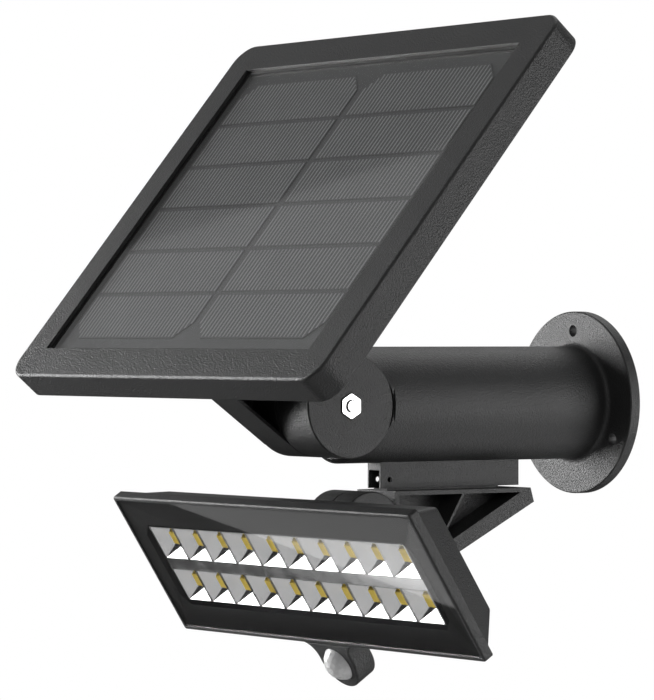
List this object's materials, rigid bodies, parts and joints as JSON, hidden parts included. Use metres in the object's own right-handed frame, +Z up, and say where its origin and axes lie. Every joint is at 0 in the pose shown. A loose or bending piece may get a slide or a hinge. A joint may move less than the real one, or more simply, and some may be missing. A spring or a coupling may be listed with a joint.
{
  "type": "solar flood light",
  "caption": "Wall-mounted solar flood light: round tube arm on a flange, tilting solar panel above, tilting lamp head with motion sensor below.",
  "frame": {"origin": "centre of the wall flange's back face", "axes": "+Y into the wall along the arm, +X to the right for somebody facing the wall, +Z up"},
  "size_m": [0.247, 0.2419, 0.2984],
  "materials": {
    "charcoal_plastic": "fine moulded texture",
    "steel": "bright zinc-plated",
    "seal_rubber": "matt",
    "button_rubber": "matt",
    "panel_glass": "tempered, glossy",
    "lamp_cover": "clear, glossy",
    "black_print": "printed border, glossy",
    "solar_cell": "dark monocrystalline wafer",
    "ribbon": "tinned",
    "backsheet": "matt",
    "reflector": "vacuum-metallised, bright",
    "divider": "vacuum-metallised, bright",
    "led_phosphor": "phosphor",
    "black_board": "black solder mask on aluminium",
    "green_board": "solder mask",
    "inner_plastic": "moulded",
    "battery_can": "shrink-wrapped can",
    "spreader": "rolled sheet",
    "sensor_lens": "milky, faceted",
    "sensor_can": "plated"
  },
  "bodies": {
    "arm": {"arm_tube": "charcoal_plastic", "battery_cell_1": "battery_can", "battery_cell_2": "battery_can", "battery_cell_3": "battery_can", "battery_end_front": "inner_plastic", "battery_end_rear": "inner_plastic", "charge_board": "green_board", "charge_board_parts": "inner_plastic", "lamp_bracket": "charcoal_plastic", "lamp_pivot_bolt": "steel", "lamp_pivot_friction_washer": "seal_rubber", "lamp_pivot_nut": "steel", "lamp_pivot_washer": "steel", "lamp_rail": "charcoal_plastic", "panel_pivot_bolt": "steel", "panel_pivot_friction_washer": "seal_rubber", "panel_pivot_nut": "steel", "panel_pivot_washer": "steel", "rear_cap": "charcoal_plastic", "rear_cap_screws": "steel", "rear_cap_seal": "seal_rubber", "tube_knuckle": "charcoal_plastic"},
    "panel": {"back_cover_screws": "steel", "cell_backsheet": "backsheet", "cell_ribbons": "ribbon", "cells_left": "solar_cell", "cells_right": "solar_cell", "panel_back_cover": "charcoal_plastic", "panel_bracket": "charcoal_plastic", "panel_bracket_screws": "steel", "panel_frame": "charcoal_plastic", "panel_glass": "panel_glass", "panel_junction_box": "inner_plastic", "panel_seal": "seal_rubber"},
    "lamp": {"button_switch": "inner_plastic", "divider_strip": "divider", "driver_board": "green_board", "glass_border": "black_print", "heat_spreader": "spreader", "housing_screws": "steel", "lamp_bezel": "charcoal_plastic", "lamp_foot": "charcoal_plastic", "lamp_foot_screws": "steel", "lamp_glass": "lamp_cover", "lamp_housing": "charcoal_plastic", "lamp_seal": "seal_rubber", "led_board": "black_board", "led_emitters": "led_phosphor", "pir_board": "green_board", "pir_housing": "charcoal_plastic", "pir_lens": "sensor_lens", "pir_sensor": "sensor_can", "reflector_lower": "reflector", "reflector_upper": "reflector"},
    "mode_button": {"mode_button": "button_rubber"}
  },
  "joints": [
    {"name": "panel_tilt", "type": "hinge", "parent": "arm", "child": "panel", "pos_m": [0, -0.1527, 0], "axis": [1, 0, 0], "range_deg": [-40, 20]},
    {"name": "lamp_tilt", "type": "hinge", "parent": "arm", "child": "lamp", "pos_m": [0, -0.1335, -0.0552], "axis": [1, 0, 0], "range_deg": [-25, 35]},
    {"name": "button_press", "type": "slide", "parent": "lamp", "child": "mode_button", "axis": [0, -0.8406, -0.5417], "range_m": [0, 0.0012], "stiffness_N_per_m": 600, "springref_m": -0.001}
  ]
}
